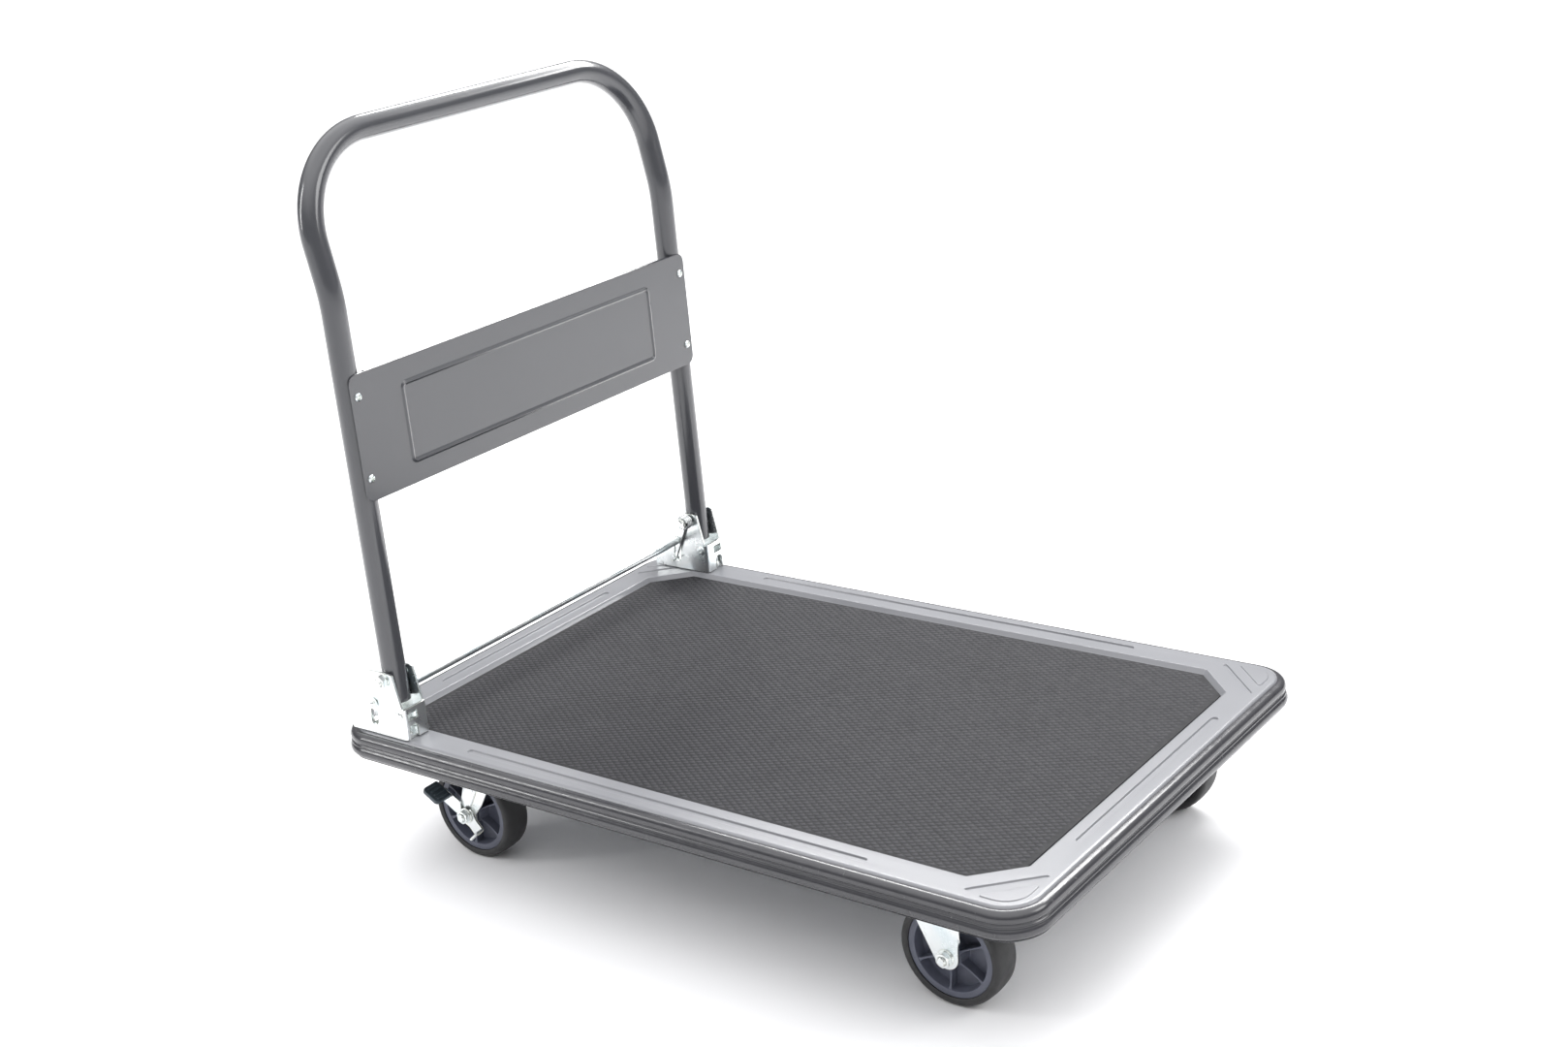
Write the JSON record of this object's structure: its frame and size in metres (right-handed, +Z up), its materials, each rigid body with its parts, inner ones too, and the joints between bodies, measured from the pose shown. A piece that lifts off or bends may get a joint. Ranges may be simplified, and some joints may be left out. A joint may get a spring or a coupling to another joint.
{
  "type": "folding platform cart",
  "caption": "Flat-deck hand cart with a tubular handle that folds down over a rubber-matted tray, fixed front wheels and braked swivel rear wheels.",
  "frame": {"origin": "on the floor under the middle of the deck", "axes": "+X along the deck away from the handle, +Y to the cart's left, +Z up"},
  "size_m": [0.92, 0.608, 0.8442],
  "materials": {
    "tray_paint": "satin",
    "mat": "matt, fine embossed texture",
    "bumper": "semi-gloss vinyl",
    "handle_paint": "semi-gloss",
    "zinc": "bright zinc plate",
    "hub": "satin moulded plastic",
    "tyre": "matt",
    "pedal": "satin"
  },
  "bodies": {
    "frame": {"deck_tray": "tray_paint", "deck_mat": "mat", "bumper": "bumper", "rail_left": "tray_paint", "rail_right": "tray_paint", "bracket_left": "zinc", "bracket_right": "zinc", "bracket_bolts": "zinc", "stop_rivets": "zinc", "pivot_bolts": "zinc", "pivot_nuts": "zinc", "front_fork_left": "zinc", "front_fork_right": "zinc", "front_axle_bolts": "zinc", "front_axle_nuts": "zinc", "front_bushes": "zinc", "swivel_plate_left": "zinc", "swivel_plate_right": "zinc", "kingpins": "zinc", "caster_bolts": "zinc", "caster_nuts": "zinc"},
    "handle": {"handle_tube": "handle_paint", "handle_panel": "handle_paint", "panel_screws": "zinc"},
    "release": {"release_bar": "zinc", "bar_caps": "zinc"},
    "spring_l": {"spring_left": "zinc"},
    "front_wheel_left": {"front_hub_left": "hub", "front_tyre_left": "tyre"},
    "swivel_left": {"rear_fork_left": "zinc", "rear_axle_bolt_left": "zinc", "rear_axle_nut_left": "zinc", "rear_bush_left": "zinc"},
    "rear_wheel_left": {"rear_hub_left": "hub", "rear_tyre_left": "tyre"},
    "wheel_brake_left": {"brake_left": "zinc", "brake_pedal_left": "pedal"},
    "front_wheel_right": {"front_hub_right": "hub", "front_tyre_right": "tyre"},
    "swivel_right": {"rear_fork_right": "zinc", "rear_axle_bolt_right": "zinc", "rear_axle_nut_right": "zinc", "rear_bush_right": "zinc"},
    "rear_wheel_right": {"rear_hub_right": "hub", "rear_tyre_right": "tyre"},
    "wheel_brake_right": {"brake_right": "zinc", "brake_pedal_right": "pedal"}
  },
  "joints": [
    {"name": "handle_fold", "type": "hinge", "parent": "frame", "child": "handle", "pos_m": [-0.369, 0, 0.235], "axis": [0, 1, 0], "range_deg": [0, 97]},
    {"name": "release_press", "type": "slide", "parent": "frame", "child": "release", "axis": [-0.1547, 0, -0.988], "range_m": [0, 0.02], "stiffness_N_per_m": 600, "springref_m": -0.02},
    {"name": "spring_left_turn", "type": "hinge", "parent": "frame", "child": "spring_l", "pos_m": [-0.369, 0.25, 0.235], "axis": [0, 1, 0], "range_deg": [-7.5, 0]},
    {"name": "front_wheel_left_spin", "type": "hinge", "parent": "frame", "child": "front_wheel_left", "pos_m": [0.331, 0.223, 0.058], "axis": [0, 1, 0], "continuous": true},
    {"name": "swivel_left_turn", "type": "hinge", "parent": "frame", "child": "swivel_left", "pos_m": [-0.283, 0.223, 0.13], "axis": [0, 0, 1], "continuous": true},
    {"name": "rear_wheel_left_spin", "type": "hinge", "parent": "swivel_left", "child": "rear_wheel_left", "pos_m": [-0.316, 0.223, 0.058], "axis": [0, 1, 0], "continuous": true},
    {"name": "brake_left_press", "type": "hinge", "parent": "swivel_left", "child": "wheel_brake_left", "pos_m": [-0.316, 0.223, 0.058], "axis": [0, 1, 0], "range_deg": [-20, 0]},
    {"name": "front_wheel_right_spin", "type": "hinge", "parent": "frame", "child": "front_wheel_right", "pos_m": [0.331, -0.223, 0.058], "axis": [0, 1, 0], "continuous": true},
    {"name": "swivel_right_turn", "type": "hinge", "parent": "frame", "child": "swivel_right", "pos_m": [-0.283, -0.223, 0.13], "axis": [0, 0, 1], "continuous": true},
    {"name": "rear_wheel_right_spin", "type": "hinge", "parent": "swivel_right", "child": "rear_wheel_right", "pos_m": [-0.316, -0.223, 0.058], "axis": [0, 1, 0], "continuous": true},
    {"name": "brake_right_press", "type": "hinge", "parent": "swivel_right", "child": "wheel_brake_right", "pos_m": [-0.316, -0.223, 0.058], "axis": [0, 1, 0], "range_deg": [-20, 0]}
  ],
  "couplings": [
    {"joint": "spring_left_turn", "follows": "release_press", "rad_per_m": -6}
  ]
}
